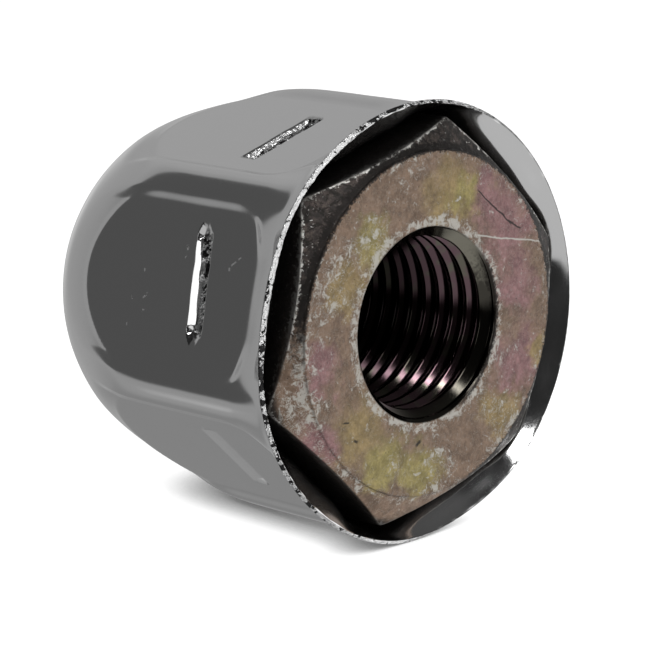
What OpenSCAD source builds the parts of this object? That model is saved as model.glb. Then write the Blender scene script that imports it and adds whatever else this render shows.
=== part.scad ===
// Lug nut cover: a thin chrome-plated cap, drawn from sheet, crimped onto a threaded hex nut.
// It stands on the nut's seat face, open end down, with the dome up. Lengths are in millimetres.

/* [Cover] */
// Height of the cap from its rim to the tip of the dome
cover_h = 29.5; // [28.5:0.1:32]
// Outside diameter of the flared rim
rim_d = 29.5; // [29.2:0.1:31]
// Width across the pressed flats, outside
cover_af = 25; // [24.9:0.1:25.3]
// Thickness of the sheet
sheet = 0.4; // [0.3:0.05:0.45]
// Outside radius of the dome's round end
dome_r = 12.9; // [12.6:0.1:13.3]
// Outside radius of the long curve that leads up into the dome
shoulder_r = 34.5; // [30:0.5:40]
// Slope at which that curve meets the dome, in degrees
shoulder_angle = 26; // [24:1:30]
// Rounding of the six ridges between the flats, outside
ridge_r = 1.2; // [0.8:0.1:2]
// Height over which the rim flares from the flats to a full circle
flare_h = 3.7; // [3:0.1:4.5]

/* [Crimps] */
// Height of the crimp grooves above the rim
crimp_h = 9.1; // [7:0.1:10]
// Length of the straight part of each crimp groove
crimp_length = 5.6; // [4:0.1:7]
// Depth of each groove in the outside of the flat
crimp_depth = 0.35; // [0.2:0.05:0.4]
// Radius of the tool that pressed the grooves
crimp_tool_r = 0.5; // [0.45:0.05:0.7]

/* [Nut] */
// Width across the nut's flats
nut_af = 23.8; // [23.6:0.05:23.9]
// Height of the nut
nut_h = 12.7; // [11.5:0.1:14]
// Distance by which the nut's seat face stands out past the rim
nut_proud = 0.6; // [0.3:0.1:1]
// Diameter of the flat ring left by the corner chamfer
seat_d = 23.1; // [22.5:0.1:23.4]
// Angle of the corner chamfer to the seat face, in degrees
chamfer_angle = 30; // [25:1:35]
// Diameter of the bore over the thread crests
bore_d = 11.5; // [11.3:0.05:11.6]
// Diameter of the countersink at each end of the bore
countersink_d = 12.9; // [12.7:0.1:13.4]

/* [Hidden] */
$fn = 96;

flats = 6;
ridge_steps = 4;                               // facets on each half of a rounded ridge
overlap = 1;                                   // how far a cutting shape reaches past what it cuts
rim_r = rim_d / 2;
cover_apothem = cover_af / 2;
dome_z = cover_h - dome_r;                     // centre of the round end, above the rim
shoulder_x = (dome_r - shoulder_r) * cos(shoulder_angle);
shoulder_z = dome_z + (dome_r - shoulder_r) * sin(shoulder_angle);
flare_slope = (rim_r - cover_apothem) / flare_h;
flare_wall = sheet * sqrt(1 + flare_slope * flare_slope);

nut_apothem = nut_af / 2;
nut_corner_r = nut_apothem / cos(30);
seat_r = seat_d / 2;
chamfer_h = (nut_corner_r - seat_r) * tan(chamfer_angle);
countersink_h = (countersink_d - bore_d) / 2;  // 45 degree walls

crimp_bump_r = 0.9;                            // bulge inside each groove, before it flattens on the nut
crimp_bump_x = nut_apothem + 0.8;              // centre of that bulge, so a strip of it lies on the nut

// Everything on or above the line from the dome's centre to where the long curve meets the dome
module above_shoulder(reach) {
    polygon([
        [0, dome_z],
        [reach * cos(shoulder_angle), dome_z + reach * sin(shoulder_angle)],
        [0, dome_z + reach],
    ]);
}

// Everything below that line, down to the rim
module below_shoulder(reach) {
    polygon([
        [0, 0],
        [reach * cos(shoulder_angle), 0],
        [reach * cos(shoulder_angle), dome_z + reach * sin(shoulder_angle)],
        [0, dome_z],
    ]);
}

// Half outline of the round body, as radius and height, at a depth inside the outer skin
module body_outline(depth) {
    reach = 3 * dome_r;
    intersection() {
        translate([0, dome_z]) circle(dome_r - depth);
        above_shoulder(reach);
    }
    intersection() {
        translate([shoulder_x, shoulder_z]) circle(shoulder_r - depth);
        below_shoulder(reach);
    }
}

// Hexagon with rounded corners; its flats face +Y, -Y and every 60 degrees between
module rounded_hexagon(apothem, corner_r) {
    corner_x = (apothem - corner_r) / cos(30);
    polygon([
        for (k = [0:flats - 1], step = [-ridge_steps:ridge_steps])
            let (corner = 60 * k, turn = corner + 30 * step / ridge_steps)
            corner_x * [cos(corner), sin(corner)] + corner_r * [cos(turn), sin(turn)]
    ]);
}

// Solid bounded by the skin of the cap, or by a surface at a depth inside it
module cap_solid(depth) {
    intersection() {
        rotate_extrude() body_outline(depth);
        linear_extrude(cover_h) rounded_hexagon(cover_apothem - depth, ridge_r - depth);
    }
}

// Cone of the flared rim, with its radius at the rim and at the top of the flare
module flare_solid(radius_at_rim, apothem) {
    top = (radius_at_rim - apothem) / flare_slope;
    cylinder(r1 = radius_at_rim, r2 = apothem, h = top);
}

// Round bar with ball ends, lying along a flat at a distance from the axis
module crimp_bar(distance, radius) {
    for (end = [-1, 1]) translate([end * crimp_length / 2, distance, crimp_h]) sphere(radius);
    translate([-crimp_length / 2, distance, crimp_h])
        rotate([0, 90, 0]) cylinder(r = radius, h = crimp_length);
}

// What one crimp adds inside its flat: a bulge that stops on the nut
module crimp_bulge() {
    width = crimp_length + 4 * crimp_bump_r;
    intersection() {
        crimp_bar(crimp_bump_x, crimp_bump_r);
        translate([-width / 2, nut_apothem, 0])
            cube([width, cover_apothem - sheet / 2 - nut_apothem, cover_h]);
    }
}

module cover() {
    groove_x = cover_apothem - crimp_depth + crimp_tool_r;
    color([0.62, 0.62, 0.63])
    translate([0, 0, nut_proud])
    difference() {
        union() {
            difference() {
                union() {
                    cap_solid(0);
                    flare_solid(rim_r, cover_apothem);
                }
                cap_solid(sheet);
                flare_solid(rim_r - flare_wall, cover_apothem - sheet);
            }
            for (k = [0:flats - 1]) rotate(60 * k) crimp_bulge();
        }
        for (k = [0:flats - 1]) rotate(60 * k) crimp_bar(groove_x, crimp_tool_r);
    }
}

// Countersink at the seat end; the other end mirrors it
module countersink() {
    reach = countersink_h + overlap;
    translate([0, 0, -overlap])
        cylinder(r1 = bore_d / 2 + reach, r2 = bore_d / 2, h = reach);
}

// Round blank whose coned ends give the hexagon its chamfered corners
module chamfer_blank() {
    rotate_extrude() polygon([
        [0, 0],
        [seat_r, 0],
        [nut_corner_r, chamfer_h],
        [nut_corner_r, nut_h - chamfer_h],
        [seat_r, nut_h],
        [0, nut_h],
    ]);
}

module nut() {
    color([0.66, 0.58, 0.40])
    difference() {
        intersection() {
            cylinder(r = nut_corner_r, h = nut_h, $fn = flats);
            chamfer_blank();
        }
        translate([0, 0, -overlap]) cylinder(d = bore_d, h = nut_h + 2 * overlap);
        countersink();
        translate([0, 0, nut_h]) mirror([0, 0, 1]) countersink();
    }
}

cover();
nut();
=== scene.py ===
import bmesh
import bpy
import math
import numpy as np
from mathutils import Matrix, Vector, noise


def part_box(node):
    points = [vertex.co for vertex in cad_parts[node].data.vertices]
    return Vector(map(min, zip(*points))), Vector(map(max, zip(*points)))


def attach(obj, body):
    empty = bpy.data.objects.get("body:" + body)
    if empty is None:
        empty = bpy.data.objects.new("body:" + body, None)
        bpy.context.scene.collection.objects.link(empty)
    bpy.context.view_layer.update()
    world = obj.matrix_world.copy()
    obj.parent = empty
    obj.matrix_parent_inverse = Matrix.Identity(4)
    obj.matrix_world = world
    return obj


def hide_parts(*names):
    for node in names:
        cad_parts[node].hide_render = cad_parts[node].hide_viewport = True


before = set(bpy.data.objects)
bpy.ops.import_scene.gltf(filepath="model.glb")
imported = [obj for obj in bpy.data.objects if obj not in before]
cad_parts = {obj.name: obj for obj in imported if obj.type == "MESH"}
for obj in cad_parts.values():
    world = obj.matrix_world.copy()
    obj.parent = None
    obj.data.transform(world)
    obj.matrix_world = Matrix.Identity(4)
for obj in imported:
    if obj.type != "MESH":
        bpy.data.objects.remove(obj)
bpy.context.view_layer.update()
coverLow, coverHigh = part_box("cover")
nutLow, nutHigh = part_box("nut")

mm = 0.001
turn = 2 * math.pi
sides = 6


def smoothStep(low, high, x):
    s = np.clip((x - low) / (high - low), 0, 1)
    return s * s * (3 - 2 * s)


def softMin(a, b, width):
    h = np.clip(0.5 + 0.5 * (b - a) / width, 0, 1)
    return b * (1 - h) + a * h - width * h * (1 - h)


def stations(*runs):
    # joins runs of (start, end, step) into one list of stations, each run's end left to the next
    out = []
    for start, end, step in runs:
        count = max(1, round((end - start) / step))
        out += [start + (end - start) * k / count for k in range(count)]
    out.append(runs[-1][1])
    return np.array(out)


def bandFaces(count, n, inward=False):
    # the quads between rings of n points
    faces = []
    for a in range(0, (count - 1) * n, n):
        for i in range(n):
            b, k = a + n, (i + 1) % n
            faces.append((a + i, a + k, b + k, b + i) if inward else (a + i, b + i, b + k, a + k))
    return faces


cover = {
    "rimR": (coverHigh[0] - coverLow[0]) / 2 / mm,
    "rimZ": coverLow[2] / mm,
    "height": (coverHigh[2] - coverLow[2]) / mm,
    "sheet": 0.4,
    "panelApothem": 12.5,       # the pressed panels
    "ridgeApothem": 12.78,      # the metal round them stands a little proud
    "footApothem": 12.52,       # but less so towards the rim
    "footAlong": (2.5, 5.4),    # where along a flat it does, and over which heights
    "footUp": (5, 9),
    "ridgeRound": 2.4,
    "ridgeByRim": [2.4, 5.0, 5.0, 2.4, 2.4, 2.4],       # two ridges are rounder near the rim
    "ridgeUp": (5, 10),
    "domeR": 12.9,
    "shoulderR": 34.5,
    "shoulderAngle": math.radians(26),
    "shoulderBlend": 0.45,
    "panelHalf": 5.65,          # half width of a panel, to the middle of its fold
    "panelFoot": 3.0,
    "panelCorner": 2.6,
    "panelFold": 0.5,
    "domeStart": 0.36,          # the panel turns in where it lies this deep under the round body
    "domeFrom": 9,
    "domeSlopes": (0.42, 0.31),
    "domeSoft": 0.1,
    "domeStrip": 0.42,
    "domeBlend": 0.16,
    "flareH": 3.7,
    "flareSoft": 0.10,
    # the share of the flare before it turns out, and where it turns, on each ridge and on each flat
    "flareEase": ([0.48, 0.06, 0.06, 0.48, 0.48, 0.48], [0.48, 0.56, 0.48, 0.48, 0.48, 0.48]),
    "flareTurn": ([0.80, 0.77, 0.77, 0.80, 0.80, 0.80], [0.70] * 6),
    "flareTurnSoft": 0.07,
    "flangeAngle": ([31, 48, 46, 22, 31, 31], 52),      # from the axis at the lip, on the ridges and flats
    # beside the corners of the panels: how much higher the flare starts, and how much more of it comes early
    "cornerAt": 4.6,
    "cornerHalf": 1.4,
    "flareUp": 0.3,
    "cornerEase": [0, 0, 0, 0.45, 0.45, 0.30],
    "lipPull": [0.0, 0.0, 0.30, 0.10, 0.28, 0.12],      # how far each flat pulls the lip in
    "lipUp": 0.02,
    "lipRound": 0.10,
    "lipSteps": 7,
    "lipSheet": (0.30, 0.37),   # where the lip is cut square and where it is sheared flat
    "cutMiddle": math.radians(282),
    "cutEase": (0.55, 0.93),
    "lipRough": (0.02, 0.06),
    "lipClean": (math.radians(294), 0.55),      # the cut is less dark about here, and by how much
    "wave": 0.02,               # slow unevenness of the drawn sheet
    # columns over half a flat: start, end and step; they are finer at the folds and on the ridges
    "columns": [(0, 5.0, 0.21), (5.0, 6.5, 0.11), (6.5, 7.25, 0.15)],
    "domeRows": (28, 10),       # outside and inside
}
crimp = {
    "height": [8.5, 8.6, 8.4, 8.8, 8.25, 8.9],          # above the rim, one for each flat
    "shift": [0.1, 0.0, -0.1, 0.2, 0.42, -0.35],        # along the flat
    "tilt": [0.0, 0.02, 0.0, 0.0, 0.05, 0.03],
    "wall": [0.36, 0.32, 0.36, 0.10, 0.42, 0.40],       # depth of the straight wall towards the dome
    "grow": [0.0, 0.02, 0.0, 0.0, -0.055, -0.02],       # change of that depth along the slot
    "steep": [2.2, 2.2, 2.2, 0.42, 0.84, 2.6],          # slope of that wall; one slot is only a soft dent
    "half": 3.3,
    "halfWidth": [0.76, 0.76, 0.76, 0.76, 0.76, 0.72],
    "endWall": 1.6,
    "floor": 0.24,              # the floor goes on down towards the rim at this slope
    "edgeRound": 0.12,          # of the edge towards the rim
    "edgeRough": [0.25, 0.25, 0.25, 0.25, 0.25, 0.5],   # unevenness of the wall's depth
    "deepest": 0.56,            # so that it stays clear of the nut
    "runOut": 1.25,             # length of the scoop at each end, and its slopes
    "runDepth": (3.0, 0.33),
    "scoop": [0.4, 0.4, 0.4, 0.0, 1.0, 0.0],
    "torn": [0.3, 0.3, 0.3, 0.0, 1.0, 1.0],             # how rough the floor is
    "tornWall": [0.0, 0.0, 0.0, 0.0, 0.0, 0.45],
    "tornAlong": (-1.6, 1.0, 0.78),     # it is less dark before this place along the slot
    "wobble": 0.07,
    "rough": 0.10,
    # mesh rows about a crimp: their height, and how far in they lie from its edge to the rim and to the dome
    "rowsAt": 8.6,
    "rowsRim": [-0.2, 0, 0.05, 0.09, 0.13, 0.18, 0.24, 0.31, 0.40, 0.55],
    "rowsDome": [0.42, 0.33, 0.27, 0.22, 0.17, 0.13, 0.09, 0.05, 0.02, 0.0, -0.04, -0.2],
    "rowsReach": (4.5, 0.7, 1.7),       # the rows this near bend with it, fully up to the second, then less
}


def bodyRadius(z):
    # radius of the round body at a height above the rim, without the flats
    c = cover
    domeZ = c["height"] - c["domeR"]
    shoulderX = (c["domeR"] - c["shoulderR"]) * math.cos(c["shoulderAngle"])
    shoulderZ = domeZ + (c["domeR"] - c["shoulderR"]) * math.sin(c["shoulderAngle"])
    up = np.maximum(z - shoulderZ, 0)
    side = shoulderX + np.sqrt(np.maximum(c["shoulderR"] ** 2 - up ** 2, 0))
    top = np.sqrt(np.maximum(c["domeR"] ** 2 - (z - domeZ) ** 2, 0))
    return np.where(z > domeZ + c["domeR"] * math.sin(c["shoulderAngle"]), top, side)


def roundedHexRadius(delta, apothem, corner):
    # delta is the angle from the middle of a flat
    centre = (apothem - corner) / math.cos(math.pi / 6)
    off = math.pi / 6 - np.abs(delta)
    arc = centre * np.cos(off) + np.sqrt(np.maximum(corner ** 2 - (centre * np.sin(off)) ** 2, 0))
    onFlat = np.abs(apothem * np.tan(delta)) < (apothem - corner) * math.tan(math.pi / 6)
    return np.where(onFlat, apothem / np.cos(delta), arc)


def flatNumber(theta):
    return np.floor(theta / (turn / sides)).astype(int) % sides


def ridgeNumber(theta):
    # the nearest ridge; the first is at angle 0
    return np.round(theta / (turn / sides)).astype(int) % sides


def ripple(x, y, z, scale, seed=0.0):
    return np.array([noise.noise(Vector((a * scale + seed, b * scale - seed, h * scale)))
                     for a, b, h in zip(np.ravel(x), np.ravel(y), np.ravel(z))]).reshape(np.shape(x))


def crimpMiddle(flat, along):
    c = crimp
    wobble = ripple(along, np.asarray(flat) * 7.0, 0 * along, 1.1, 3.1)
    return np.take(c["height"], flat) + np.take(c["tilt"], flat) * along + c["wobble"] * wobble


def crimpDepth(flat, along, z):
    # a slot rolled in by a tool: a straight wall towards the dome, a torn floor and a shallow scoop
    # at each end; also says how much of the place is floor and how much is wall
    c = crimp
    depth, floor, scrapedAndSheen = np.zeros((3, *np.shape(along)))
    s = np.abs(along - np.take(c["shift"], flat))
    near = (np.abs(z - np.take(c["height"], flat)) < 1.4) & (s < c["half"] + c["runOut"])
    if not near.any():
        return depth, floor, scrapedAndSheen
    along, z, s, flat = along[near], z[near], s[near], flat[near]
    t = z - crimpMiddle(flat, along)
    halfWidth = np.take(c["halfWidth"], flat)
    fromDome, fromRim = np.maximum(halfWidth - t, 0), np.maximum(halfWidth + t, 0)
    steep = np.take(c["steep"], flat)
    edge = ripple(along, flat * 3.0, 0 * along, 0.9, 5.2) * np.take(c["edgeRough"], flat)
    wall = np.maximum(np.take(c["wall"], flat) + np.take(c["grow"], flat) * along, 0.08) * (1 + edge)
    ends = np.maximum(c["half"] - s, 0) * c["endWall"]
    below = wall + c["floor"] * np.maximum(fromDome - wall / steep, 0)
    torn = np.maximum(ripple(along, flat * 5.0, t, 2.3, 8.3), -0.15)
    share = np.take(c["torn"], flat)
    below = below - c["rough"] * share * torn * smoothStep(0.0, 0.2, fromDome - wall / steep)
    rim = np.where(fromRim < 2.2 * c["edgeRound"], fromRim ** 2 / (2 * c["edgeRound"]),
                   2.42 * c["edgeRound"] + 2.2 * (fromRim - 2.2 * c["edgeRound"]))
    slot = softMin(softMin(fromDome * steep, below, 0.05), softMin(rim, ends, 0.06), 0.08)
    slot = np.clip(slot, 0, c["deepest"])
    run = np.clip(1 - (s - c["half"] + 0.1) / c["runOut"], 0, 1)
    # the scoop at each end is steep towards the dome and slopes gently towards the rim
    steepSide, gentleSide = [np.maximum(halfWidth * run + way * t, 0) for way in (-1, 1)]
    scoop = softMin(c["runDepth"][0] * steepSide, c["runDepth"][1] * gentleSide, 0.10 * run + 0.001)
    scoop = np.maximum(scoop, 0) * (s > c["half"] - 0.2) * np.take(c["scoop"], flat)
    depth[near] = np.maximum(slot, scoop)
    onFloor = smoothStep(-0.03, 0.05, fromDome - wall / steep)
    onWall = (1 - onFloor) * smoothStep(0.03, 0.10, slot)
    first, last, least = c["tornAlong"]
    less = least + (1 - least) * smoothStep(first, last, along)
    floor[near] = (onFloor * (slot > 0.06) + onWall * np.take(c["tornWall"], flat)) * share * less
    # the wall's share, which the chrome paints brighter as a sheen
    scrapedAndSheen[near] = onWall * (share > 0)
    return depth, floor, scrapedAndSheen


def flareShare(x, late, ease):
    # 0 where the flare starts and 1 at the lip; it turns outwards like a bell
    c = cover
    soft, turnSoft = c["flareSoft"], c["flareTurnSoft"]

    def raw(v):
        first = np.sqrt(v * v + soft * soft) - soft
        past = v - late
        return ease * first + (1 - ease) / (1 - late) * (
            past + np.sqrt(past * past + turnSoft * turnSoft)) / 2
    start, end = raw(0.0), raw(1.0)
    return (raw(x) - start) / (end - start)


def lipShape(theta):
    # for each angle: how far the lip is sheared flat, the sheet there, the flange's angle,
    # and the middle of its outer corner
    c = cover
    onFlat = np.cos(3 * ((theta % (turn / sides)) - turn / sides / 2)) ** 2
    shear = smoothStep(*c["cutEase"], np.cos(theta - c["cutMiddle"]))
    sheet = c["lipSheet"][0] + (c["lipSheet"][1] - c["lipSheet"][0]) * shear
    onRidge = np.take(c["flangeAngle"][0], ridgeNumber(theta))
    lean = np.radians(onRidge + (c["flangeAngle"][1] - onRidge) * onFlat)
    square = c["lipUp"] + c["lipRound"] * np.cos(lean) + (sheet - c["lipRound"]) * np.sin(lean)
    centreZ = square + (c["lipRound"] - square) * shear
    centreR = c["rimR"] - np.take(c["lipPull"], flatNumber(theta)) * onFlat - c["lipRound"]
    return shear, sheet, lean, centreR, centreZ


def coverRadius(theta, z, crimps=True):
    # radius of the outer skin at an angle and a height above the rim
    c = cover
    flat = flatNumber(theta)
    delta = (theta % (turn / sides)) - turn / sides / 2
    along = c["panelApothem"] * np.tan(delta)
    body = bodyRadius(z)
    apothem = c["ridgeApothem"] - (c["ridgeApothem"] - c["footApothem"]) * (
        (1 - smoothStep(*c["footAlong"], np.abs(along))) * (1 - smoothStep(*c["footUp"], z)))
    byRim = np.take(c["ridgeByRim"], ridgeNumber(theta))
    corner = c["ridgeRound"] + (byRim - c["ridgeRound"]) * (1 - smoothStep(*c["ridgeUp"], z))
    ridge = softMin(body, roundedHexRadius(delta, apothem, corner), c["shoulderBlend"])
    # the panel turns in by two steps before it meets the dome
    into = (c["domeStart"] - (body * np.cos(delta) - c["panelApothem"])) / math.tan(c["shoulderAngle"])
    first, second = [(v + np.sqrt(v * v + c["domeSoft"] ** 2)) / 2 for v in (into, into - c["domeStrip"])]
    drop = c["domeSlopes"][0] * first - (c["domeSlopes"][0] - c["domeSlopes"][1]) * second
    panel = (c["panelApothem"] - drop * (z > c["domeFrom"])) / np.cos(delta)
    panel = softMin(body, panel, c["domeBlend"])
    # signed distance to the panel's rounded outline, positive inside
    q1 = np.abs(along) - (c["panelHalf"] - c["panelCorner"])
    q2 = (c["panelFoot"] + c["panelCorner"]) - z
    outside = np.hypot(np.maximum(q1, 0), np.maximum(q2, 0)) + np.minimum(np.maximum(q1, q2), 0)
    inPanel = smoothStep(-c["panelFold"], c["panelFold"], c["panelCorner"] - outside)
    r = ridge * (1 - inPanel) + np.minimum(ridge, panel) * inPanel
    # the flare, from the hexagon to the round lip
    lean, centreR, centreZ = lipShape(theta)[2:]
    lipR, lipZ = centreR + c["lipRound"] * np.cos(lean), centreZ + c["lipRound"] * np.sin(lean)
    onFlat = np.cos(3 * delta) ** 2
    nearest = ridgeNumber(theta)
    late, ease = [np.take(c[name][0], nearest) * (1 - onFlat) + np.take(c[name][1], flat) * onFlat
                  for name in ("flareTurn", "flareEase")]
    byCorner = np.exp(-((np.abs(along) - c["cornerAt"]) / c["cornerHalf"]) ** 2)
    ease = ease + byCorner * np.take(c["cornerEase"], flat)
    flareH = c["flareH"] + c["flareUp"] * byCorner
    s = flareShare(np.clip((flareH - z) / (flareH - lipZ), 0, 1.05), late, ease)
    r = r + (lipR - r) * s
    if crimps:
        r = r - crimpDepth(flat, along, z)[0] / np.cos(delta)
    return r


def buildCover():
    c = cover
    domeZ = c["height"] - c["domeR"]
    lift = c["rimZ"]
    # columns: the same on each side of a flat's middle
    half = stations(*c["columns"])
    halfAngles = np.arctan(half / (half[-1] / math.tan(math.pi / 6)))
    sector = np.concatenate([-halfAngles[:0:-1], halfAngles[:-1]])
    theta = np.concatenate([sector + (k + 0.5) * turn / sides for k in range(sides)])
    n = len(theta)
    flat = flatNumber(theta)
    delta = (theta % (turn / sides)) - turn / sides / 2
    shear, sheet, lean, centreR, centreZ = lipShape(theta)
    lipZ = centreZ + c["lipRound"] * np.sin(lean)
    # rows: they are laid out about a crimp in the middle, then bent to each flat's own crimp
    middle = crimp["rowsAt"]
    w = max(crimp["halfWidth"])
    across = np.concatenate([np.array(crimp["rowsRim"]) - w, [0.0], w - np.array(crimp["rowsDome"])])
    zRows = np.concatenate([
        stations((0, 0.35, 0.07), (0.35, 2.0, 0.15), (2.0, 4.6, 0.16),
                 (4.6, middle + across[0] - 0.25, 0.45)),
        middle + across,
        stations((middle + across[-1] + 0.25, 14, 0.5), (14, 17.5, 0.33), (17.5, 22.2, 0.21))])
    # each flat's own shift of the rows, eased over the ridges
    along = c["panelApothem"] * np.tan(delta)
    own = crimpMiddle(flat, along) - middle
    near = (flat + np.where(delta > 0, 1, -1)) % sides
    beside = crimpMiddle(near, -along) - middle
    ease = 0.5 * smoothStep(math.radians(20), math.radians(30), np.abs(delta))
    shift = own * (1 - ease) + beside * ease

    def place(r, z):
        return np.stack([r * np.cos(theta), r * np.sin(theta), z + lift], -1)

    def domeRings(radius, fromZ, count):
        lats = np.linspace(math.asin((fromZ - domeZ) / radius), math.pi / 2, count)[1:-1]
        return [place(np.full(n, radius * math.cos(a)), np.full(n, domeZ + radius * math.sin(a)))
                for a in lats]

    far, full, fade = crimp["rowsReach"]
    outer = []
    for z in zRows:
        bent = z + lipZ * (1 - smoothStep(0, 1.2, z))
        if abs(z - middle) < far:
            bent = bent + shift * math.exp(-(max(abs(z - middle) - full, 0) / fade) ** 2)
        outer.append(place(coverRadius(theta, bent), bent))
    outer += domeRings(c["domeR"], zRows[-1], c["domeRows"][0])
    outer = np.array(outer)
    # slow unevenness, square to the skin
    dU = np.roll(outer, -1, axis=1) - np.roll(outer, 1, axis=1)
    dV = np.gradient(outer, axis=0)
    normal = np.cross(dU, dV)
    normal /= np.linalg.norm(normal, axis=-1, keepdims=True)
    at = np.moveaxis(outer, -1, 0)
    wave = ripple(*at, 0.17) + 0.5 * ripple(*at, 0.4, 5.0)
    height = outer[..., 2] - lift
    fade = smoothStep(0.5, 3.0, height) * smoothStep(c["height"], c["height"] - 1.5, height)
    outer = outer - normal * (c["wave"] * (wave + 1.2) * fade)[..., None]
    # the lip: a rounded outer corner, then the cut edge, a little torn
    end = -(math.pi / 2 - lean) * (1 - shear) - math.pi / 2 * shear
    lip = []
    for k in range(1, c["lipSteps"] + 1):
        angle = lean + (end - lean) * k / c["lipSteps"]
        lip.append((centreR + c["lipRound"] * np.cos(angle), centreZ + c["lipRound"] * np.sin(angle)))
    # the inside: one sheet in from the plain outer skin, and outside the nut's flats
    probeZ = stations((0, 4.6, 0.12), (4.6, 14, 0.8), (14, 22.4, 0.3))
    rowsIn = []
    for z in probeZ:
        bent = z + lipZ * (1 - smoothStep(0, 1.2, z))
        r = coverRadius(theta, bent, crimps=False)
        slope = (coverRadius(theta, bent + 0.02, crimps=False) - r) / 0.02
        thick = sheet + (c["sheet"] - sheet) * smoothStep(0, 2.0, z)
        size = np.sqrt(1 + slope * slope)
        rowsIn.append((r - thick / size, bent + thick * slope / size))
    inR, inZ = np.array([a for a, b in rowsIn]), np.array([b for a, b in rowsIn])
    past = 0.15
    inZ = np.concatenate([inZ[:1] - past * np.cos(lean), inZ])
    inR = np.concatenate([inR[:1] + past * np.sin(lean), inR])
    levels = np.concatenate([
        stations((0.05, 0.4, 0.09), (0.4, 2.0, 0.16), (2.0, 4.4, 0.4), (4.4, 12.4, 2.7)),
        stations((13.6, 22.0, 1.2))])
    nutApothem = nutHigh[1] / mm + 0.005
    least = nutApothem / np.cos(delta)
    inner = []
    for z in levels:
        r = np.array([np.interp(z, inZ[:, i], inR[:, i]) for i in range(n)])
        if z + lift < nutHigh[2] / mm + 0.2:
            r = least if 6 < z < 11 else np.maximum(r, least)
        inner.append(place(r, np.full(n, z)))
    inner += domeRings(c["domeR"] - c["sheet"], levels[-1], c["domeRows"][1])
    inner = np.array(inner)
    innerR = np.hypot(inner[0, :, 0], inner[0, :, 1])
    last = (innerR + 0.03 * np.tan(lean), np.full(n, c["lipUp"]))
    first = lip[-1]
    for s in (0.2, 0.42, 0.64, 0.85):
        lip.append((first[0] + (last[0] - first[0]) * s, first[1] + (last[1] - first[1]) * s))
    lip.append(last)
    nearCut = smoothStep(-0.2, 0.75, np.cos(theta - c["cutMiddle"]))
    rough = c["lipRough"][0] + (c["lipRough"][1] - c["lipRough"][0]) * nearCut
    lipRows = []
    for k, (r, z) in enumerate(lip):
        x, y = r * np.cos(theta), r * np.sin(theta)
        torn = ripple(x, y, 0 * x + k * 0.4, 1.9, 2.0) + 0.8 * ripple(x, y, 0 * x + k * 0.9, 4.6, 6.0)
        weight = 0.35 if k < 4 else 1.0
        z = np.maximum(z + weight * rough * (torn + 0.5), 0.0)
        r = np.minimum(r + weight * 0.6 * rough * torn, c["rimR"])
        lipRows.append(place(r, z))
    rows = np.concatenate([outer[::-1], np.array(lipRows), inner])
    points = rows.reshape(-1, 3)
    faces = bandFaces(len(rows), n)
    # close both poles
    tipOut = len(points)
    tips = np.array([[0, 0, c["height"] + lift], [0, 0, c["height"] + lift - c["sheet"]]])
    points = np.concatenate([points, tips])
    last = (len(rows) - 1) * n
    for i in range(n):
        k = (i + 1) % n
        faces.append((tipOut, i, k))
        faces.append((tipOut + 1, last + k, last + i))
    mesh = bpy.data.meshes.new("coverSkin")
    mesh.from_pydata([tuple(p) for p in points * mm], [], faces)
    mesh.polygons.foreach_set("use_smooth", [True] * len(faces))
    # how torn the metal is: the cut lip and the crimps
    torn = np.zeros((len(rows), n))
    everyFlat, everyAlong = [np.broadcast_to(v, outer.shape[:2]) for v in (flat, along)]
    floor, scrapedAndSheen = crimpDepth(everyFlat, everyAlong, outer[..., 2] - lift)[1:]
    torn[:len(outer)] = floor[::-1]
    cleanAt, cleaner = c["lipClean"]
    bright = 1 - cleaner * smoothStep(0.75, 0.95, np.cos(theta - cleanAt))
    torn[len(outer) + 2:len(outer) + len(lipRows)] = bright * rough / c["lipRough"][1]
    # the crimp walls: scraped, and painted brighter as a sheen
    scraped = np.zeros((len(rows), n))
    scraped[:len(outer)] = scrapedAndSheen[::-1]
    for name, value in (("torn", torn), ("scrapedAndSheen", scraped)):
        layer = mesh.attributes.new(name, "FLOAT", "POINT")
        layer.data.foreach_set("value", np.concatenate([value.reshape(-1), [0, 0]]))
    mesh.update()
    skin = bpy.data.objects.new("coverSkin", mesh)
    bpy.context.collection.objects.link(skin)
    print("cover skin:", len(points), "points,", n, "columns,", 2 * len(faces), "triangles")
    return skin


nut = {
    "apothem": nutHigh[1] / mm,
    "height": nutHigh[2] / mm,
    "seatR": 11.5,              # the turned seat, a low step above the chamfer
    "seatShift": (0.05, 0.25),  # it was turned a little off centre
    "seatStep": 0.13,
    "chamfer": math.radians(30),
    "boreR": 5.75,
    "sinkR": 6.45,
    "pitch": 1.27,
    "threadR": 6.4,
    "crest": (0.16, 0.30),      # half width and radius of the worn crests
    "root": 0.085,
    "start": 0.4,               # of a turn, where the thread starts
    # mesh rows over one pitch
    "phases": [0, 0.06, 0.10, 0.126, 0.15, 0.20, 0.27, 0.35, 0.42, 0.433, 0.47, 0.53, 0.567, 0.58,
               0.65, 0.73, 0.80, 0.85, 0.874, 0.90, 0.94],
    "columns": 288,
    "mouth": 0.10,              # the thread's first row lies this deep
    "edge": 0.12,               # worn round of the edges
    "corner": (0.05, 0.25),     # how much the corners are worn, and over what width
    "chip": 0.05,               # unevenness of the seat's edge
    "rough": 0.05,
    "wornEdge": (0.05, 0.42),   # distance from the hexagon's edge over which wear fades
}


def threadRadius(phase):
    # a thread with broad worn crests, steep flanks and narrow roots; phase runs 0 to 1 over a pitch
    c = nut
    half, worn = c["crest"]
    x = (np.abs(((phase + 0.5) % 1) - 0.5)) * c["pitch"]
    crown = np.minimum(x, half) ** 2 / (2 * worn)
    edge = half ** 2 / (2 * worn)
    flank = (x - half) / (c["pitch"] / 2 - c["root"] - half)
    return c["boreR"] + crown + np.clip(flank, 0, 1) * (c["threadR"] - c["boreR"] - edge)


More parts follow.
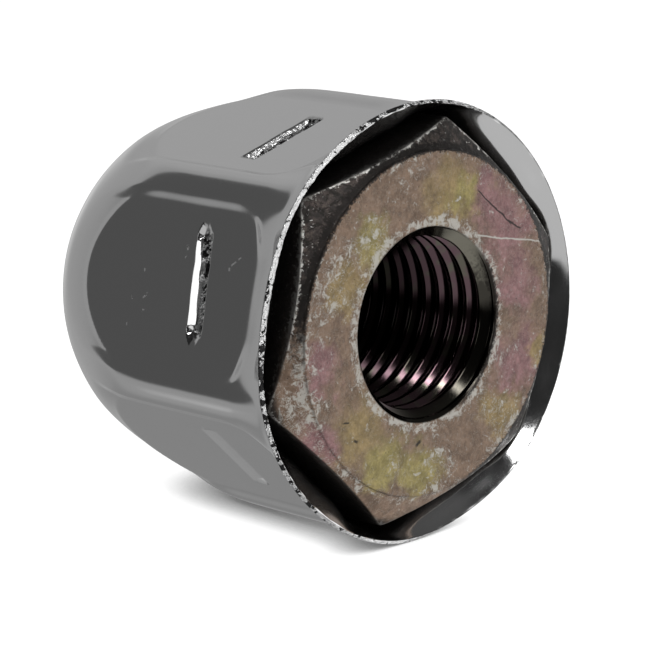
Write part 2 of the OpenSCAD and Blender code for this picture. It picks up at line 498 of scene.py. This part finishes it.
def buildNut():
    c = nut
    n = c["columns"]
    theta = np.arange(n) * turn / n
    delta = (theta % (turn / sides)) - turn / sides / 2
    hexR = c["apothem"] / np.cos(delta)
    cornerR = c["apothem"] / math.cos(math.pi / 6)
    hexR = softMin(hexR, np.full(n, cornerR - c["corner"][0]), c["corner"][1])
    slope = math.tan(c["chamfer"])
    h = c["height"]
    sink = c["sinkR"] - c["boreR"]
    rows = []

    def ring(r, z):
        r = np.broadcast_to(r, (n,)).astype(float)
        z = np.broadcast_to(z, (n,)).astype(float)
        rows.append(np.stack([r * np.cos(theta), r * np.sin(theta), z], -1))

    # the seat's edge seen from the bore: a circle a little off centre
    sx, sy = c["seatShift"]
    toward = sx * np.cos(theta) + sy * np.sin(theta)
    seatEdge = toward + np.sqrt(c["seatR"] ** 2 - (sx ** 2 + sy ** 2) + toward ** 2)
    e = c["edge"]
    for r, z in ((c["sinkR"], c["mouth"]), (c["sinkR"] + 0.05, 0.03), (c["sinkR"] + 0.14, 0.0)):
        ring(r, z)
    for s in np.linspace(0, 1, 22):
        ring(c["sinkR"] + 0.4 + (seatEdge - 0.3 - c["sinkR"] - 0.4) * s, 0.0)
    chip = c["chip"] * ripple(np.cos(theta) * 11, np.sin(theta) * 11, theta * 0, 1.6, 4.0)
    ring(seatEdge - 0.10 + chip, 0.0)
    ring(seatEdge - 0.03 + chip, 0.02)
    ring(seatEdge + chip, 0.06)
    ring(seatEdge + 0.02 + chip, c["seatStep"])
    edgeZ = c["seatStep"] + (hexR - seatEdge) * slope
    for s in (0.06, 0.2, 0.35, 0.5, 0.65, 0.78, 0.88, 0.95, 1.0):
        r = seatEdge + (hexR - e * 0.7 - seatEdge) * s
        lump = 0.5 * c["rough"] * ripple(r * np.cos(theta), r * np.sin(theta), theta * 0, 1.2, 9.0)
        ring(r, c["seatStep"] + (r - seatEdge) * slope + lump)
    for inset, down in ((0.25, 0.12), (0.0, 0.6), (0.0, 1.6)):
        lump = c["rough"] * (ripple(hexR * np.cos(theta), hexR * np.sin(theta), theta * 0, 1.5, 2.0) + 0.3)
        ring(hexR - e * inset - np.maximum(lump, 0), edgeZ + e * down)
    farZ = (hexR - c["seatR"]) * slope
    low = edgeZ + e * 1.6
    for s in np.linspace(0, 1, 24)[1:-1]:
        ring(hexR, low + (h - farZ - e - low) * s)
    ring(hexR, h - farZ - e * 0.6)
    ring(hexR - e * 0.25, h - farZ - e * 0.1)
    for s in np.linspace(1, 0.0, 6):
        r = c["seatR"] + (hexR - e * 0.7 - c["seatR"]) * s
        ring(r, h - (r - c["seatR"]) * slope)
    for r in np.linspace(c["seatR"] - 0.3, c["sinkR"] + 0.1, 8):
        ring(r, h)
    ring(c["sinkR"] + 0.02, h - 0.02)
    ring(c["sinkR"], h - 0.05)
    body = np.array(rows)
    # the thread: rows follow the helix, so crests and roots stay sharp
    phases = c["phases"]
    perTurn = len(phases)
    low, high = c["mouth"], h - 0.05
    turns = int(math.ceil((high - low) / c["pitch"])) + 1
    thread = []
    for j in range(-2 * perTurn, turns * perTurn):
        phase = phases[j % perTurn]
        z = low + c["pitch"] * (j // perTurn + phase + theta / turn + c["start"])
        zc = np.clip(z, low, high)
        cone = c["boreR"] + np.maximum(np.maximum(sink + 0.1 - zc, sink + 0.1 - (h - zc)), 0)
        cone = np.minimum(cone, c["sinkR"])
        r = np.maximum(threadRadius(phase), cone)
        r = np.where((z <= low) | (z >= high), c["sinkR"], r)
        thread.append(np.stack([r * np.cos(theta), r * np.sin(theta), zc], -1))
    thread = np.array(thread)
    points = np.concatenate([body.reshape(-1, 3), thread.reshape(-1, 3)])
    faces = bandFaces(len(body), n, inward=True)
    base = len(body) * n
    for j in range(len(thread) - 1):
        for i in range(n):
            a, b = base + j * n + i, base + (j + 1) * n + i
            # the last column joins the first one a turn further up
            across = 1 if i < n - 1 else perTurn * n - i
            if i < n - 1 or j + perTurn + 1 < len(thread):
                faces.append((a, b, b + across, a + across))
    mesh = bpy.data.meshes.new("plainNut")
    mesh.from_pydata([tuple(p) for p in points * mm], [], faces)
    bm = bmesh.new()
    bm.from_mesh(mesh)
    bmesh.ops.remove_doubles(bm, verts=bm.verts, dist=0.004 * mm)
    bmesh.ops.dissolve_degenerate(bm, edges=bm.edges, dist=0.002 * mm)
    bmesh.ops.recalc_face_normals(bm, faces=bm.faces)
    holes = sum(1 for e in bm.edges if not e.is_manifold)
    bm.to_mesh(mesh)
    bm.free()
    # where the hexagon's edge is worn
    at = np.empty(len(mesh.vertices) * 3)
    mesh.vertices.foreach_get("co", at)
    at = at.reshape(-1, 3) / mm
    angle = np.arctan2(at[:, 1], at[:, 0]) % turn
    hexAt, edgeAt = [np.interp(angle, theta, v, period=turn) for v in (hexR, edgeZ)]
    far = np.hypot(hexAt - np.hypot(at[:, 0], at[:, 1]), edgeAt + 0.05 - at[:, 2])
    layer = mesh.attributes.new("worn", "FLOAT", "POINT")
    layer.data.foreach_set("value", 1 - smoothStep(*c["wornEdge"], far))
    mesh.polygons.foreach_set("use_smooth", [True] * len(mesh.polygons))
    nutPiece = bpy.data.objects.new("hexNut", mesh)
    bpy.context.collection.objects.link(nutPiece)
    print("hex nut:", len(mesh.vertices), "points,", holes, "open edges")
    return nutPiece


def newMaterial(name):
    material = bpy.data.materials.new(name)
    material.use_nodes = True
    tree = material.node_tree
    shader = tree.nodes["Principled BSDF"]
    return material, tree, shader


def node(tree, kind, inputs=None, **settings):
    made = tree.nodes.new(kind)
    for key, value in settings.items():
        setattr(made, key, value)
    for key, value in (inputs or {}).items():
        if isinstance(value, bpy.types.NodeSocket):
            tree.links.new(value, made.inputs[key])
        else:
            made.inputs[key].default_value = value
    return made


def grey(level):
    return (level, level, level, 1)


chromeLook = {
    "colour": 0.60,
    "roughness": (0.10, 0.16),
    "tornRoughness": 0.20,
    "tornBump": 0.00030,
    "tornDark": 0.02,               # the dark torn places
    "scrapedAndSheen": (0.92, 0.20),     # colour and roughness of the scraped walls, painted brighter as a sheen
    "nicked": (0.95, 0.55),     # how bright the nicks are painted, partly as their glints, and how rough
    # height above the rim, place along the flat, length, half width and lean of small nicks in one panel
    "nicks": [(9.95, 2.6, 0.45, 0.09, 0.3), (10.0, 2.0, 0.35, 0.05, -0.5), (5.45, 2.1, 0.7, 0.05, -0.9),
              (4.95, 2.5, 0.4, 0.05, -1.0), (5.75, 1.7, 0.35, 0.07, 0.2), (13.75, 0.65, 0.35, 0.05, 0.1),
              (14.6, -1.3, 0.4, 0.05, 0.5), (13.3, -1.0, 0.7, 0.06, -0.8), (13.3, -2.0, 0.3, 0.10, 0.0),
              (14.7, -3.1, 0.3, 0.05, 0.4)],
}


class Maker:
    # short names for the nodes of one material
    def __init__(self, tree):
        self.tree = tree
        coord = node(tree, "ShaderNodeTexCoord").outputs["Object"]
        self.place = self.vector("MULTIPLY", coord, (1 / mm, 1 / mm, 1 / mm))   # in millimetres

    def maths(self, kind, first, second=0.0, third=0.0):
        return node(self.tree, "ShaderNodeMath", {0: first, 1: second, 2: third}, operation=kind).outputs[0]

    def times(self, first, second):
        return self.maths("MULTIPLY", first, second)

    def plus(self, first, second):
        return self.maths("ADD", first, second)

    def less(self, first, second):
        return self.maths("SUBTRACT", first, second)

    def vector(self, kind, first, second=(0, 0, 0), out=0):
        return node(self.tree, "ShaderNodeVectorMath", {0: first, 1: second}, operation=kind).outputs[out]

    def noise(self, scale, detail=3.0, roughness=0.5, bend=0.0, out="Fac"):
        return node(self.tree, "ShaderNodeTexNoise", {
            "Vector": self.place, "Scale": scale, "Detail": detail, "Roughness": roughness,
            "Distortion": bend}).outputs[out]

    def step(self, value, low, high, least=0.0, most=1.0):
        return node(self.tree, "ShaderNodeMapRange", {
            "Value": value, "From Min": low, "From Max": high, "To Min": least, "To Max": most},
            interpolation_type="SMOOTHSTEP").outputs[0]

    def mix(self, amount, below, above):
        return node(self.tree, "ShaderNodeMix", {"Factor": amount, "A": below, "B": above}).outputs[0]

    def tint(self, amount, below, above):
        return node(self.tree, "ShaderNodeMix", {"Factor": amount, "A": below, "B": above},
                    data_type="RGBA").outputs["Result"]

    def attribute(self, name):
        return node(self.tree, "ShaderNodeAttribute", attribute_name=name).outputs["Fac"]

    def axes(self):
        return node(self.tree, "ShaderNodeSeparateXYZ", {0: self.place}).outputs


def chromeFinish():
    c = chromeLook
    material, tree, shader = newMaterial("chrome")
    m = Maker(tree)
    maths, times, plus, less, step = m.maths, m.times, m.plus, m.less, m.step
    torn = m.attribute("torn")
    grain = times(m.noise(3.6, 3.0, 0.6), torn)
    # near-black patches on the torn crimp floors and the cut lip
    limit = maths("MULTIPLY_ADD", torn, -0.20, 0.68)
    darkened = step(less(m.noise(2.1, 3.0, 0.6), limit), -0.01, 0.03)
    darkened = times(darkened, step(torn, 0.1, 0.4))
    colour = m.tint(darkened, grey(c["colour"]), grey(c["tornDark"]))
    # nicks in the panel that faces down -y, as short marks painted bright as their glints
    x, y, z = m.axes()
    onPanel = step(y, 0.3 - cover["panelApothem"], 0.1 - cover["panelApothem"])
    nicksAndGlints = 0.0
    for height, at, length, half, lean in c["nicks"]:
        offX = less(x, at)
        offZ = less(z, height + cover["rimZ"])
        run = maths("ABSOLUTE", plus(times(offX, math.cos(lean)), times(offZ, math.sin(lean))))
        side = maths("ABSOLUTE", less(times(offZ, math.cos(lean)), times(offX, math.sin(lean))))
        mark = times(step(run, length / 2, length / 2 - 0.12), step(side, half * 1.5, half * 0.7))
        nicksAndGlints = maths("MAXIMUM", nicksAndGlints, mark)
    broken = step(m.noise(5.0, 2.0), 0.34, 0.44)
    nicksAndGlints = times(times(nicksAndGlints, onPanel), broken)
    # the scraped crimp walls and the nicks, painted bright as their sheen and glints
    scrapedAndSheen = maths("MAXIMUM", m.attribute("scrapedAndSheen"), times(nicksAndGlints, c["nicked"][0]))
    rough = step(m.noise(9.0, 6.0, 0.6), 0.3, 0.7, *c["roughness"])
    rough = m.mix(torn, rough, c["tornRoughness"])
    rough = m.mix(nicksAndGlints, m.mix(m.attribute("scrapedAndSheen"), rough, c["scrapedAndSheen"][1]), c["nicked"][1])
    tree.links.new(rough, shader.inputs["Roughness"])
    tree.links.new(m.tint(scrapedAndSheen, colour, grey(c["scrapedAndSheen"][0])), shader.inputs["Base Color"])
    bump = node(tree, "ShaderNodeBump", {"Height": grain, "Strength": 1.0, "Distance": c["tornBump"]})
    tree.links.new(bump.outputs[0], shader.inputs["Normal"])
    shader.inputs["Metallic"].default_value = 1.0
    print("chrome: torn and scraped places, and", len(c["nicks"]), "nicks")
    return material


zincLook = {
    "tan": (0.152, 0.106, 0.077),
    "ochre": (0.205, 0.152, 0.076),
    "olive": (0.215, 0.180, 0.074),
    "pink": (0.190, 0.108, 0.108),
    "scuff": (0.37, 0.36, 0.33),
    # soot, and also the colour of painted shade in the gap, past the seat's edge and in the mouth
    "sootAndShade": (0.015, 0.013, 0.012),
    "fleckAndGlint": (0.62, 0.61, 0.58),
    "sideDark": (0.030, 0.027, 0.025),
    "sideDarkPale": (0.095, 0.075, 0.066),
    "thread": (0.125, 0.080, 0.092),
    "threadGreen": (0.125, 0.118, 0.095),
    "mouth": (0.20, 0.19, 0.155),
    # x, y and radius of the broad tints on the seat, in millimetres
    "tints": [
        ("pink", 6.8, 6.2, 2.8), ("pink", 8.9, 3.8, 1.9), ("pink", 3.2, 8.3, 2.0),
        ("pink", -1.6, 9.8, 2.6), ("pink", -3.6, -9.1, 1.7), ("pink", -9.0, -8.2, 1.6),
        ("ochre", -0.6, 11.0, 1.2), ("ochre", -5.3, 8.6, 1.9), ("olive", -9.3, -1.9, 2.0),
        ("olive", -9.5, 1.6, 1.8), ("ochre", -7.1, -4.8, 2.3), ("ochre", 8.8, 0.0, 2.2),
        ("olive", 4.9, -6.4, 1.8), ("ochre", 1.6, -8.2, 1.7), ("olive", 9.0, 1.2, 1.2),
    ],
    # x, y, radius and strength of the scuffed places
    "scuffs": [
        (-9.0, 3.2, 2.0, 0.11), (-9.3, -0.5, 1.5, 0.08), (5.1, -6.4, 1.9, 0.13), (1.4, -9.9, 2.6, 0.13),
        (-2.6, -10.9, 2.0, 0.10), (-7.0, -10.6, 2.6, 0.12), (-11.0, -6.5, 2.0, 0.11), (6.9, 0.5, 1.4, 0.08),
        (-6.4, 9.4, 2.4, 0.09), (-5.5, -9.6, 1.4, 0.07), (3.6, -8.6, 1.6, 0.10), (-4.6, 7.2, 1.8, 0.07),
        (9.6, -4.4, 1.8, 0.07), (-1.5, 8.0, 1.3, 0.06),
    ],
    # start, end, half width and tint of single scratches
    "scratches": [
        ((6.2, 3.2), (6.5, 9.8), 0.05, "scuff"), ((7.3, 6.6), (9.2, 2.6), 0.05, "sootAndShade"),
        ((7.1, 7.6), (7.6, 6.0), 0.06, "sootAndShade"), ((-8.1, 0.5), (-7.6, 1.1), 0.10, "sootAndShade"),
        ((-7.9, -5.3), (-8.1, -4.7), 0.08, "sootAndShade"), ((-7.0, -6.6), (-6.8, -5.8), 0.05, "sootAndShade"),
    ],
    "wander": 5.5,              # how far the outlines of the tints wander
    "patchy": 0.62,             # noise above this is rubbed
    "byBore": 0.17,
    "byRim": 0.08,
    "scuffed": 0.85,            # how strong the scuffs are at most
    "pits": (0.69, 0.74, 0.75),
    "softMiddle": math.radians(205),    # the chamfer takes the seat's colour, made paler, on this side
    "softGain": 1.5,
    "gapShade": (0.95, 1.45),        # painted shade from this height on, deep in the cap
    "seatShadeLine": (0.16, 0.34, 0.24),     # the black line of painted shade past the seat's step: where, and its half widths
    "mouthHeight": (1.15, 0.75),
    "depth": (9.5, 1.6, 0.12),  # painted shade: the thread darkens deeper in the bore, between these heights, down to this share
    "metallic": 0.85,
    "roughness": (0.36, 0.52),
    "threadRoughness": 0.10,
    "grain": 0.00006,
}


def zincFinish():
    c = nut
    look = zincLook
    material, tree, shader = newMaterial("yellowZinc")
    m = Maker(tree)
    maths, times, plus, less, vector, step, tint = m.maths, m.times, m.plus, m.less, m.vector, m.step, m.tint
    axes = m.axes()

    def paint(name):
        return (*look[name], 1)

    flat = vector("MULTIPLY", m.place, (1, 1, 0))
    drift = vector("SUBTRACT", m.noise(0.45, 4.0, 0.6, out="Color"), (0.5, 0.5, 0.5))
    moved = vector("ADD", flat, vector("MULTIPLY", drift, (look["wander"], look["wander"], 0)))
    colour = paint("tan")
    for name, x, y, radius in look["tints"]:
        far = vector("DISTANCE", moved, (x, y, 0), "Value")
        colour = tint(step(far, radius * 1.35, radius * 0.4), colour, paint(name))
    # slow and fine changes of tone over the whole seat
    tone = times(step(m.noise(0.9, 5.0, 0.65), 0.3, 0.7, 0.74, 1.26),
                 step(m.noise(4.0, 4.0, 0.7), 0.3, 0.7, 0.82, 1.16))
    colour = vector("SCALE", colour)
    tree.links.new(tone, colour.node.inputs["Scale"])
    # grey scuffs where the plating is rubbed: round the bore, at the rim and in a few places
    radius = vector("LENGTH", flat, out="Value")
    byBore = step(maths("ABSOLUTE", less(radius, c["sinkR"] + 0.30)), 0.75, 0.1)
    byRim = step(maths("ABSOLUTE", less(radius, c["seatR"])), 0.8, 0.0)
    ease = plus(times(byBore, look["byBore"]), times(byRim, look["byRim"]))
    for x, y, size, much in look["scuffs"]:
        far = vector("DISTANCE", moved, (x, y, 0), "Value")
        ease = plus(ease, times(step(far, size * 1.3, size * 0.2), much))
    fine = times(less(m.noise(6.0, 3.0, 0.6), 0.5), 0.35)
    patchy = plus(plus(m.noise(1.5, 6.0, 0.68, 0.6), ease), fine)
    scuffed = step(patchy, look["patchy"] - 0.02, look["patchy"] + 0.12, 0.0, look["scuffed"])
    crease = maths("ABSOLUTE", less(m.noise(1.3, 5.0, 0.6, 1.4), 0.5))
    lines = times(step(crease, 0.012, 0.003), step(ease, 0.0, 0.10, 0.25, 0.8))
    scuffed = maths("MAXIMUM", scuffed, lines)
    colour = tint(scuffed, colour, paint("scuff"))
    # dark pits
    first, last, most = look["pits"]
    pits = step(m.noise(4.6, 2.0, 0.5), first, last, 0.0, most)
    colour = tint(pits, colour, paint("sootAndShade"))
    wavy = vector("ADD", flat, vector("MULTIPLY", drift, (0.5, 0.5, 0)))
    for (x0, y0), (x1, y1), half, name in look["scratches"]:
        length = math.hypot(x1 - x0, y1 - y0)
        ux, uy = (x1 - x0) / length, (y1 - y0) / length
        rel = vector("SUBTRACT", wavy, (x0, y0, 0))
        run = vector("DOT_PRODUCT", rel, (ux, uy, 0), "Value")
        side = maths("ABSOLUTE", vector("DOT_PRODUCT", rel, (-uy, ux, 0), "Value"))
        onLine = times(step(side, half * 1.6, half * 0.5), step(maths(
            "ABSOLUTE", less(run, length / 2)), length / 2, length / 2 - 0.25, 0.0, 0.9))
        colour = tint(onLine, colour, paint(name))
    # the metal outside the seat is darker, but for one side, where it takes the seat's colour made paler
    z = axes[2]
    offSeat = vector("DISTANCE", flat, (*c["seatShift"], 0), "Value")
    jag = times(less(m.noise(2.2, 4.0, 0.65), 0.5), 0.5)
    jagged = plus(offSeat, jag)
    middle = look["softMiddle"]
    toward = vector("DOT_PRODUCT", flat, (math.cos(middle), math.sin(middle), 0), "Value")
    toward = maths("DIVIDE", toward, radius)
    soft = times(step(plus(toward, jag), 0.42, 0.72), step(z, 1.4, 1.0))
    outside = maths("MAXIMUM", step(jagged, c["seatR"] - 0.03, c["seatR"] + 0.05), step(z, 0.05, 0.2))
    inBore = step(radius, c["sinkR"] + 0.12, c["sinkR"] - 0.02)
    sideDark = tint(step(m.noise(1.7, 6.0, 0.75), 0.42, 0.66), paint("sideDark"), paint("sideDarkPale"))
    nicked = step(plus(m.noise(2.6, 5.0, 0.7), times(m.attribute("worn"), 0.22)), 0.66, 0.72)
    sideDark = tint(nicked, sideDark, paint("scuff"))
    sooty = step(m.noise(1.2, 5.0, 0.72, 0.9), 0.50, 0.58, 0.0, 0.85)
    sideDark = tint(sooty, sideDark, paint("sootAndShade"))
    # bright flecks, most where the edges are worn: partly wear, partly painted highlights along the edges
    fleckAndGlint = step(plus(m.noise(3.0, 4.0, 0.7, 0.5), times(m.attribute("worn"), 0.20)), 0.64, 0.67)
    sideDark = tint(fleckAndGlint, sideDark, paint("fleckAndGlint"))
    paler = vector("SCALE", colour)
    paler.node.inputs["Scale"].default_value = look["softGain"]
    colour = tint(outside, colour, paler)
    hard = times(outside, less(1.0, soft))
    colour = tint(times(hard, less(1.0, inBore)), colour, sideDark)
    # painted shade: black in the gap beside the nut, on its sides and deep in the cap
    gapShaded = step(plus(z, jag), *look["gapShade"])
    for k in range(sides // 2):
        way = (k + 0.5) * turn / sides
        out = maths("ABSOLUTE", vector("DOT_PRODUCT", flat, (math.cos(way), math.sin(way), 0), "Value"))
        side = times(step(out, c["apothem"] - 0.10, c["apothem"] - 0.03), step(z, 0.15, 0.5))
        gapShaded = maths("MAXIMUM", gapShaded, side)
    gapShaded = times(gapShaded, less(1.0, inBore))
    colour = tint(times(gapShaded, 0.9), colour, paint("sootAndShade"))
    # painted shade: a black jagged line past the step where the seat ends
    past, half, solid = look["seatShadeLine"]
    line = maths("ABSOLUTE", less(plus(jagged, times(fine, 2.2)), c["seatR"] + past))
    shadeLineAt = times(step(line, half, solid), less(1.0, soft))
    colour = tint(times(shadeLineAt, 0.9), colour, paint("sootAndShade"))
    # painted shade: a dark broken ring on one side of the mouth; and the pale turned mouth itself
    speck = times(less(m.noise(3.0, 4.0, 0.7), 0.5), 0.9)
    byMouth = maths("ABSOLUTE", less(plus(radius, speck), c["sinkR"] + 0.02))
    oneSide = step(maths("DIVIDE", axes[1], radius), 0.45, 0.8)
    ring = times(times(step(byMouth, 0.32, 0.14), oneSide), step(z, 0.9, 0.4))
    # the mouth itself is black where it turns away from the window
    around = maths("DIVIDE", axes[0], radius)
    shut = times(step(plus(around, speck), 0.85, 0.50), step(z, 1.4, 1.0, 0.0, 0.85))
    ring = maths("MAXIMUM", ring, times(shut, inBore))
    inside = tint(step(m.noise(0.9, 2.0), 0.48, 0.66), paint("thread"), paint("threadGreen"))
    # painted shade: the thread's colour is darker deeper in the bore
    inside = vector("SCALE", inside)
    tree.links.new(step(z, *look["depth"], 1.0), inside.node.inputs["Scale"])
    inside = tint(step(z, *look["mouthHeight"]), inside, paint("mouth"))
    colour = tint(inBore, colour, inside)
    # the painted shade of the mouth goes over the thread's colour
    colour = tint(times(ring, 0.92), colour, paint("sootAndShade"))
    tree.links.new(colour, shader.inputs["Base Color"])
    rough = step(m.noise(2.5, 5.0, 0.7), 0.3, 0.7, *look["roughness"])
    rough = m.mix(inBore, rough, look["threadRoughness"])
    tree.links.new(rough, shader.inputs["Roughness"])
    metal = m.mix(inBore, look["metallic"], 1.0)
    tree.links.new(metal, shader.inputs["Metallic"])
    grain = plus(m.noise(3.5, 6.0, 0.7), times(scuffed, 0.25))
    grain = times(grain, less(1.0, times(inBore, 0.95)))
    bump = node(tree, "ShaderNodeBump", {"Height": grain, "Strength": 0.5, "Distance": look["grain"]})
    tree.links.new(bump.outputs[0], shader.inputs["Normal"])
    print("yellow zinc:", len(look["tints"]), "tints,", len(look["scuffs"]), "scuffs,",
          len(look["scratches"]), "scratches")
    return material


camera = {
    "lens": 178.6,
    "place": (8.35, -154.59, -143.67),
    "aim": (-1.36, 0.0, 9.41),
    "up": (0.98692, -0.07785, 0.14116),
}
studio = {
    "lamp": (20, 38, 0.30, 0.105, 0.22),    # azimuth, elevation, distance, size, watts
    "tableTilt": math.radians(14.6),    # the table falls away from the line of sight by this
    "tableSize": 0.6,
    "tableGlow": (-0.12, 1.75, 0.003),      # light where closed in, how much more in the open, and reach
    "floorSize": 2.0,
    "floorGlow": (0.35, 1.0, 0.06),
    "cardColour": 0.3,
}


def placeCamera():
    place = Vector(camera["place"]) * mm
    aim = Vector(camera["aim"]) * mm
    back = (place - aim).normalized()
    right = Vector(camera["up"]).cross(back).normalized()
    up = back.cross(right)
    data = bpy.data.cameras.new("camera")
    data.lens = camera["lens"]
    data.sensor_width = 36
    data.clip_start = 0.01
    data.clip_end = 10
    eye = bpy.data.objects.new("camera", data)
    eye.matrix_world = Matrix((right, up, back)).transposed().to_4x4()
    eye.location = place
    bpy.context.collection.objects.link(eye)
    bpy.context.scene.camera = eye
    print("camera: looks into the open end,", round((place - aim).length / mm), "mm from the nut")
    return right, up, back


def seen(azimuth, elevation):
    # a direction by how it lies for someone at the camera: 0 towards them, 90 right, 180 away
    a, e = math.radians(azimuth), math.radians(elevation)
    level = right * math.sin(a) + back * math.cos(a)
    return (level * math.cos(e) + up * math.sin(e)).normalized()


def addCard(name, centre, normal, size, hint):
    mesh = bpy.data.meshes.new(name)
    s = size / 2
    mesh.from_pydata([(-s, -s, 0), (s, -s, 0), (s, s, 0), (-s, s, 0)], [], [(0, 1, 2, 3)])
    card = bpy.data.objects.new(name, mesh)
    z = normal.normalized()
    x = hint.cross(z).normalized()
    y = z.cross(x)
    card.matrix_world = Matrix((x, y, z)).transposed().to_4x4()
    card.location = centre
    bpy.context.collection.objects.link(card)
    print("card placed:", name)
    return card


def cardFinish(name, closed, more, reach):
    # white for the camera, see-through from behind, dark where the part closes off the sky
    material = bpy.data.materials.new(name)
    material.use_nodes = True
    tree = material.node_tree
    tree.nodes.clear()
    out = node(tree, "ShaderNodeOutputMaterial")
    diffuse = node(tree, "ShaderNodeBsdfDiffuse", {"Color": grey(studio["cardColour"])})
    sky = node(tree, "ShaderNodeAmbientOcclusion", {"Distance": reach}, samples=8)
    strength = node(tree, "ShaderNodeMath", {0: sky.outputs["AO"], 1: more, 2: closed},
                    operation="MULTIPLY_ADD", use_clamp=True)
    glowing = node(tree, "ShaderNodeEmission", {"Strength": strength.outputs[0]})
    both = node(tree, "ShaderNodeAddShader", {0: diffuse.outputs[0], 1: glowing.outputs[0]})
    clear = node(tree, "ShaderNodeBsdfTransparent")
    geometry = node(tree, "ShaderNodeNewGeometry")
    mix = node(tree, "ShaderNodeMixShader", {0: geometry.outputs["Backfacing"], 1: both.outputs[0],
                                             2: clear.outputs[0]})
    tree.links.new(mix.outputs[0], out.inputs["Surface"])
    return material


room = {
    "base": 0.43,
    # azimuth and half width, elevation and half height, soft edge, level
    "panels": [
        (180, 181, 20, 10, 10, 0.45),
        (-166, 34, 46, 14, 8, 0.50),        # behind, over the top
        (-161, 28, -30, 15, 8, 0.32),       # behind, low
        (10, 125, -70, 42, 6, 0.72),        # the table in front
        (-163, 6, 9, 6, 10, 0.85),          # a glow behind
        (20, 110, 62, 46, 6, 0.10),         # the dark ceiling over the front
        (-95.5, 23.5, 18, 32, 3, 0.115),    # the dark side
        (-4, 68, 20, 48, 5, 0.028),         # the dark front
        (92, 34, -8, 34, 8, 1.45),          # a bright window at the right
        (51.5, 10, -4, 15, 2, 1.45),
        (-12, 8, -1, 11, 2, 1.7),           # a narrow one before it
        (40, 8, 27, 3.5, 2, 14.0),          # a small bright lamp shade over it
    ],
}


def buildWorld():
    world = bpy.data.worlds.new("studio")
    bpy.context.scene.world = world
    world.use_nodes = True
    tree = world.node_tree
    tree.nodes.clear()
    out = node(tree, "ShaderNodeOutputWorld")
    coord = node(tree, "ShaderNodeTexCoord").outputs["Generated"]

    def along(axis):
        return node(tree, "ShaderNodeVectorMath", {0: coord, 1: tuple(axis)},
                    operation="DOT_PRODUCT").outputs["Value"]

    def maths(kind, first, second=0.0):
        return node(tree, "ShaderNodeMath", {0: first, 1: second}, operation=kind).outputs[0]

    azimuth = maths("MULTIPLY", maths("ARCTAN2", along(right), along(back)), math.degrees(1))
    elevation = maths("MULTIPLY", maths("ARCSINE", along(up)), math.degrees(1))
    level = room["base"]
    for azMiddle, azHalf, elMiddle, elHalf, edge, strength in room["panels"]:
        amount = None
        for angle, middle, half in ((azimuth, azMiddle, azHalf), (elevation, elMiddle, elHalf)):
            off = maths("ABSOLUTE", maths("SUBTRACT", angle, middle))
            part = node(tree, "ShaderNodeMapRange", {
                "Value": off, "From Min": half + edge, "From Max": half - edge},
                interpolation_type="SMOOTHSTEP").outputs[0]
            amount = part if amount is None else maths("MULTIPLY", amount, part)
        level = node(tree, "ShaderNodeMix", {"Factor": amount, "A": level, "B": strength}).outputs[0]
    mirrored = node(tree, "ShaderNodeBackground", {"Color": grey(1), "Strength": level})
    white = node(tree, "ShaderNodeBackground", {"Color": grey(1), "Strength": 1.0})
    path = node(tree, "ShaderNodeLightPath")
    direct = maths("MAXIMUM", path.outputs["Is Camera Ray"], path.outputs["Is Transmission Ray"])
    mix = node(tree, "ShaderNodeMixShader", {0: direct, 1: mirrored.outputs[0], 2: white.outputs[0]})
    tree.links.new(mix.outputs[0], out.inputs["Surface"])
    print("room:", len(room["panels"]), "bright and dark fields")


def addLamp(name, azimuth, elevation, distance, size, watts):
    data = bpy.data.lights.new(name, "AREA")
    data.shape = "DISK"
    data.size = size
    data.energy = watts
    lamp = bpy.data.objects.new(name, data)
    way = seen(azimuth, elevation)
    lamp.location = Vector((0, 0, 10 * mm)) + way * distance
    lamp.rotation_mode = "QUATERNION"
    lamp.rotation_quaternion = way.to_track_quat("Z", "Y")
    bpy.context.collection.objects.link(lamp)


right, up, back = placeCamera()
buildWorld()
addLamp("overhead", *studio["lamp"])

chrome = chromeFinish()
zinc = zincFinish()
skin = buildCover()
skin.data.materials.append(chrome)
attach(skin, "root")
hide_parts("cover")
hexNut = buildNut()
hexNut.data.materials.append(zinc)
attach(hexNut, "root")
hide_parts("nut")

# the table lies along the near side of the cap: it touches the rim and the lowest ridge
tilt = studio["tableTilt"]
tableUp = (up * math.cos(tilt) + back * math.sin(tilt)).normalized()
coords = np.empty(len(skin.data.vertices) * 3)
skin.data.vertices.foreach_get("co", coords)
lowest = (coords.reshape(-1, 3) @ np.array(tableUp)).min()
centre = Vector((0, 0, 12 * mm))
foot = centre + tableUp * (lowest - centre.dot(tableUp))
table = addCard("table", foot, tableUp, studio["tableSize"], back)
table.data.materials.append(cardFinish("tableTop", *studio["tableGlow"]))
table.visible_glossy = False
table.visible_diffuse = False
table.visible_shadow = False
floor = addCard("floor", Vector((0, 0, -0.2 * mm)), Vector((0, 0, 1)), studio["floorSize"], Vector((0, 1, 0)))
floor.data.materials.append(cardFinish("floorTop", *studio["floorGlow"]))
floor.visible_glossy = False
floor.visible_diffuse = False
floor.visible_transmission = False
floor.visible_shadow = False

bpy.context.scene.view_settings.view_transform = "Standard"
bpy.context.view_layer.update()
